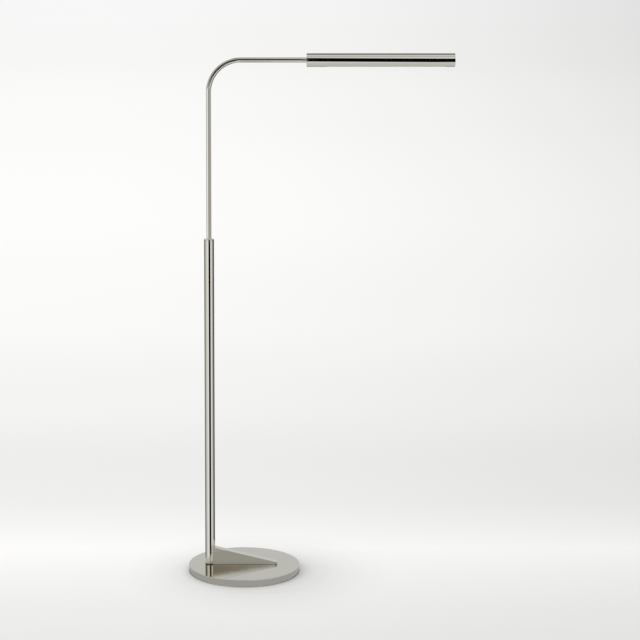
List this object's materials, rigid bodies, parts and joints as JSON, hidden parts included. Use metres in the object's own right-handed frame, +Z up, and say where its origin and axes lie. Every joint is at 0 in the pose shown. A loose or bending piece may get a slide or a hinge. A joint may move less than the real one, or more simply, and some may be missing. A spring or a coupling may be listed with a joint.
{
  "type": "adjustable arm floor lamp",
  "caption": "Floor lamp with a disc base and fin, telescoping pole, inverted-L arm that slides and swivels, and a slim horizontal cylinder shade that turns on the arm.",
  "frame": {"origin": "centre of the round base's underside, on the floor", "axes": "+Z up along the pole; +X from the pole towards the shade at rest; +Y towards the back, where the cord inlet is"},
  "size_m": [0.6738, 0.29, 1.3461],
  "materials": {
    "polished_nickel": "mirror polish",
    "zinc_plated_steel": "zinc plated",
    "turned_brass": "turned",
    "natural_nylon": "moulded",
    "black_rubber": "matte",
    "satin_aluminium": "satin",
    "black_felt": "felted",
    "opal_acrylic": "satin opal",
    "white_board": "solder mask",
    "grey_sheath": "extruded"
  },
  "bodies": {
    "base": {"base_pad": "black_felt", "base_disc": "polished_nickel", "base_fin": "polished_nickel", "fin_screw_1": "zinc_plated_steel", "fin_screw_2": "zinc_plated_steel", "cord_grommet": "black_rubber", "threaded_nipple": "zinc_plated_steel", "nipple_washer": "zinc_plated_steel", "nipple_nut": "turned_brass", "foot_plug": "turned_brass", "foot_gasket": "black_rubber", "lower_tube": "polished_nickel", "guide_bush": "natural_nylon", "tube_cap": "polished_nickel"},
    "slider": {"glide_sleeve": "natural_nylon", "wave_washer": "zinc_plated_steel"},
    "arm": {"arm_tube": "polished_nickel", "arm_lead": "grey_sheath", "glide_nut": "turned_brass", "glide_collar": "zinc_plated_steel", "arm_circlip": "zinc_plated_steel", "arm_end_nut": "turned_brass"},
    "shade": {"shade_tube": "polished_nickel", "inner_cap": "polished_nickel", "outer_cap": "polished_nickel", "swivel_hub": "satin_aluminium", "swivel_bush": "natural_nylon", "friction_washer": "black_rubber", "spring_washer": "zinc_plated_steel", "hub_screw": "zinc_plated_steel", "led_carrier": "satin_aluminium", "led_board": "white_board", "board_screw_1": "zinc_plated_steel", "board_screw_2": "zinc_plated_steel", "diffuser": "opal_acrylic"}
  },
  "joints": [
    {"name": "height_slide", "type": "slide", "parent": "base", "child": "slider", "axis": [0, 0, 1], "range_m": [-0.36, 0.12]},
    {"name": "arm_swivel", "type": "hinge", "parent": "slider", "child": "arm", "pos_m": [-0.0895, 0, 1.329], "axis": [0, 0, 1], "range_deg": [-170, 170]},
    {"name": "shade_turn", "type": "hinge", "parent": "arm", "child": "shade", "pos_m": [0.1575, 0, 1.329], "axis": [1, 0, 0], "range_deg": [-90, 90]}
  ]
}
